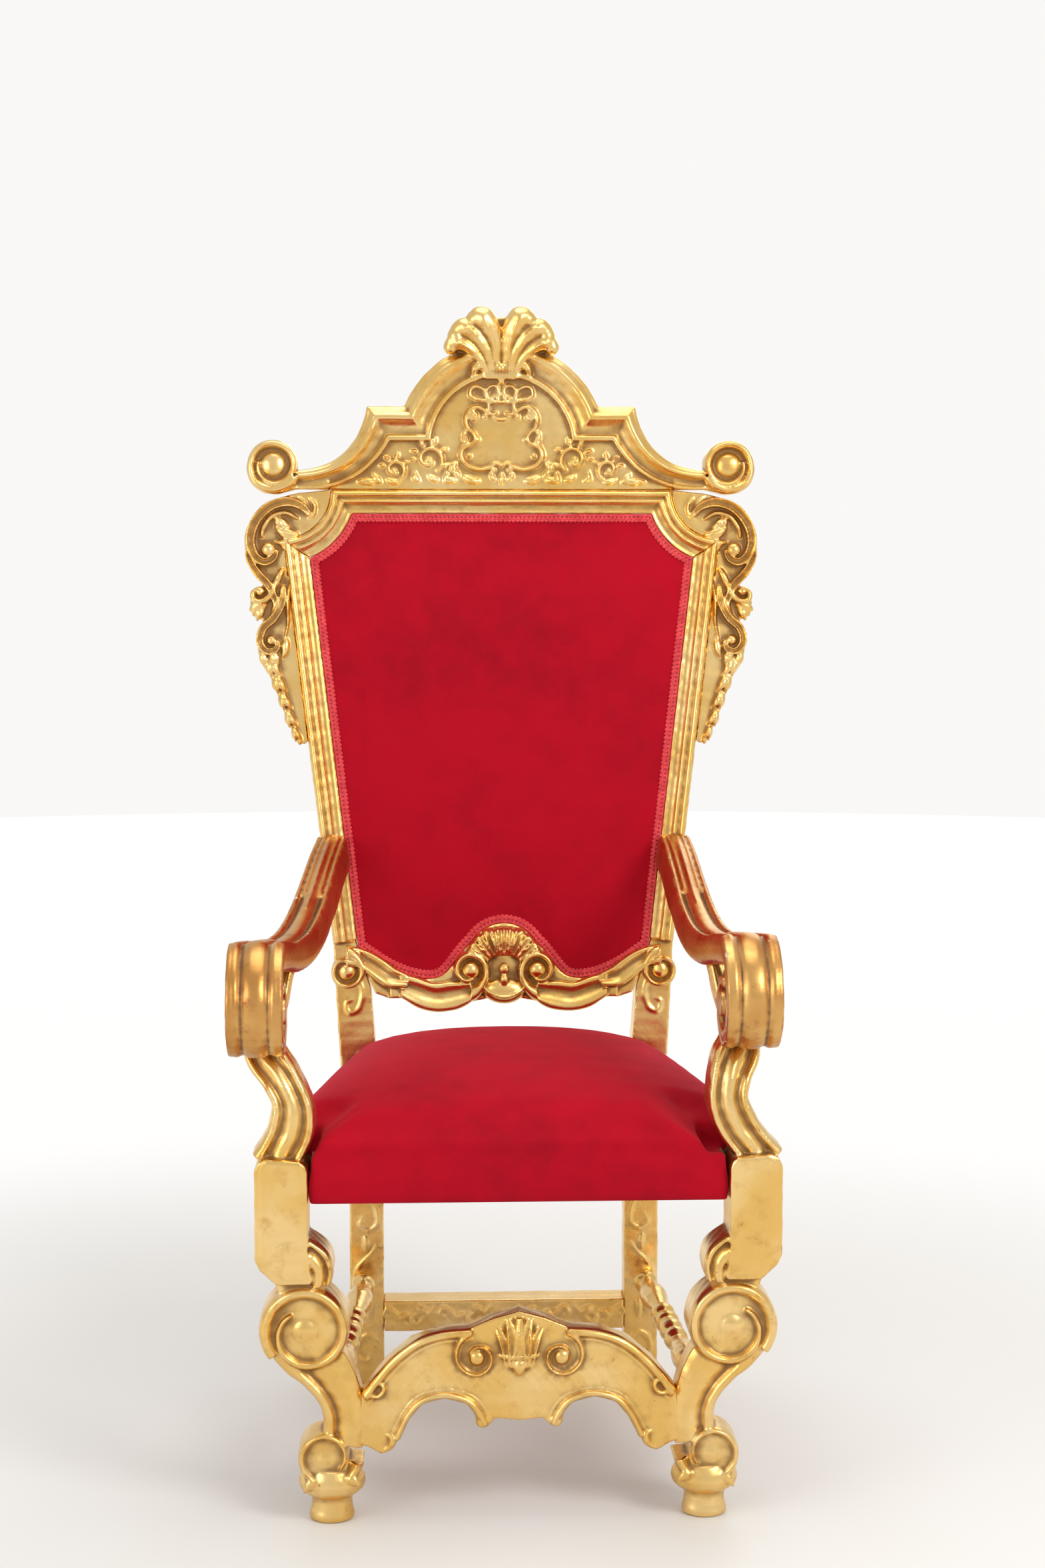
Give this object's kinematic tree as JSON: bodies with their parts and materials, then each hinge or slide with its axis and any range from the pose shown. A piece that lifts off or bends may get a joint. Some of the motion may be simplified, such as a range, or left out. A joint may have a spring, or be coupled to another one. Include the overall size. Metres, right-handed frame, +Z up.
{
  "type": "throne",
  "caption": "High-back armchair of carved gilded wood with scrolled legs and arms, arched cresting and velvet upholstery; a seat of honour for one person.",
  "frame": {"origin": "on the floor, under the middle of the whole chair's box", "axes": "+X to the right as seen from the front, +Y from the front to the back, +Z up"},
  "size_m": [0.758, 0.7372, 1.5963],
  "materials": {
    "gilding": "water gilding over red bole on carved wood, rubbed at the edges and darker in the hollows",
    "worn_gilding": "gilding worn to orange-brown bole and patches of pale gesso by hands",
    "bare_wood": "plain aged softwood",
    "velvet": "crimson cut velvet with a soft sheen",
    "braid": "woven gimp braid with a scalloped edge"
  },
  "bodies": {
    "root": {"crest": "gilding", "top_rail": "gilding", "post_right": "gilding", "post_left": "gilding", "side_ornament_right": "gilding", "side_ornament_left": "gilding", "lower_back_rail": "gilding", "front_leg_right": "gilding", "front_leg_left": "gilding", "front_stretcher": "gilding", "side_stretcher_right": "gilding", "side_stretcher_left": "gilding", "rear_stretcher": "gilding", "arm_right": "worn_gilding", "arm_left": "worn_gilding", "seat_frame": "bare_wood", "back_pad": "velvet", "seat_pad": "velvet", "back_braid": "braid"}
  },
  "joints": []
}
